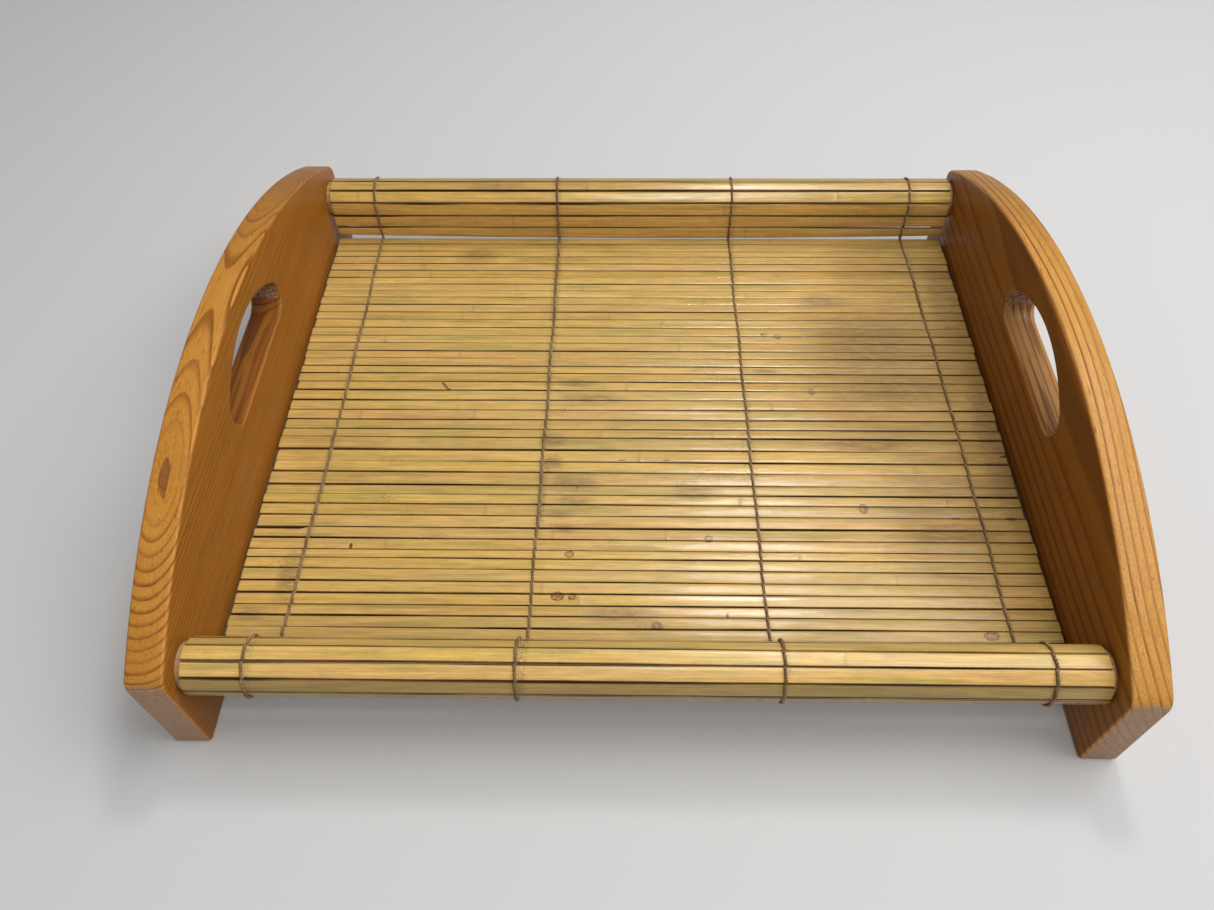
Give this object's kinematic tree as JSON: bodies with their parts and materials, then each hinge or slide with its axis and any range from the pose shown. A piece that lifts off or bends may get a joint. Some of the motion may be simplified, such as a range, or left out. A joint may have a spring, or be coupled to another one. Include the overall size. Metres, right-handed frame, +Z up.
{
  "type": "serving tray",
  "caption": "Serving tray: arched pine side panels with hand holes, joined by round rim bars, with a woven bamboo slat mat that covers the floor and is wrapped round both rims.",
  "frame": {"origin": "middle of the underside, on the surface that the tray stands on", "axes": "+X to the right along the slats, +Y to the back along the side panels, +Z up"},
  "size_m": [0.45, 0.378, 0.113],
  "materials": {
    "pine_panel": "glossy honey varnish over straight pine grain",
    "bar_wood": "plain planed softwood, unvarnished",
    "board": "brown hardboard",
    "bamboo": "varnished yellow bamboo with fine lengthwise fibres",
    "string": "thin twisted cotton string, worn grey-brown"
  },
  "bodies": {
    "root": {"left_side_panel": "pine_panel", "right_side_panel": "pine_panel", "front_rim_dowel": "bar_wood", "back_rim_dowel": "bar_wood", "floor_board": "board", "front_floor_rail": "bar_wood", "back_floor_rail": "bar_wood", "front_rim_slats": "bamboo", "back_rim_slats": "bamboo", "floor_slat_01": "bamboo", "floor_slat_02": "bamboo", "floor_slat_03": "bamboo", "floor_slat_04": "bamboo", "floor_slat_05": "bamboo", "floor_slat_06": "bamboo", "floor_slat_07": "bamboo", "floor_slat_08": "bamboo", "floor_slat_09": "bamboo", "floor_slat_10": "bamboo", "floor_slat_11": "bamboo", "floor_slat_12": "bamboo", "floor_slat_13": "bamboo", "floor_slat_14": "bamboo", "floor_slat_15": "bamboo", "floor_slat_16": "bamboo", "floor_slat_17": "bamboo", "floor_slat_18": "bamboo", "floor_slat_19": "bamboo", "floor_slat_20": "bamboo", "floor_slat_21": "bamboo", "floor_slat_22": "bamboo", "floor_slat_23": "bamboo", "floor_slat_24": "bamboo", "floor_slat_25": "bamboo", "floor_slat_26": "bamboo", "floor_slat_27": "bamboo", "floor_slat_28": "bamboo", "floor_slat_29": "bamboo", "floor_slat_30": "bamboo", "floor_slat_31": "bamboo", "floor_slat_32": "bamboo", "floor_slat_33": "bamboo", "floor_slat_34": "bamboo", "floor_slat_35": "bamboo", "floor_slat_36": "bamboo", "floor_slat_37": "bamboo", "floor_slat_38": "bamboo", "floor_slat_39": "bamboo", "floor_slat_40": "bamboo", "floor_slat_41": "bamboo", "floor_slat_42": "bamboo", "floor_slat_43": "bamboo", "floor_slat_44": "bamboo", "floor_slat_45": "bamboo", "floor_slat_46": "bamboo", "warp_thread_1": "string", "warp_thread_2": "string", "warp_thread_3": "string", "warp_thread_4": "string"}
  },
  "joints": []
}
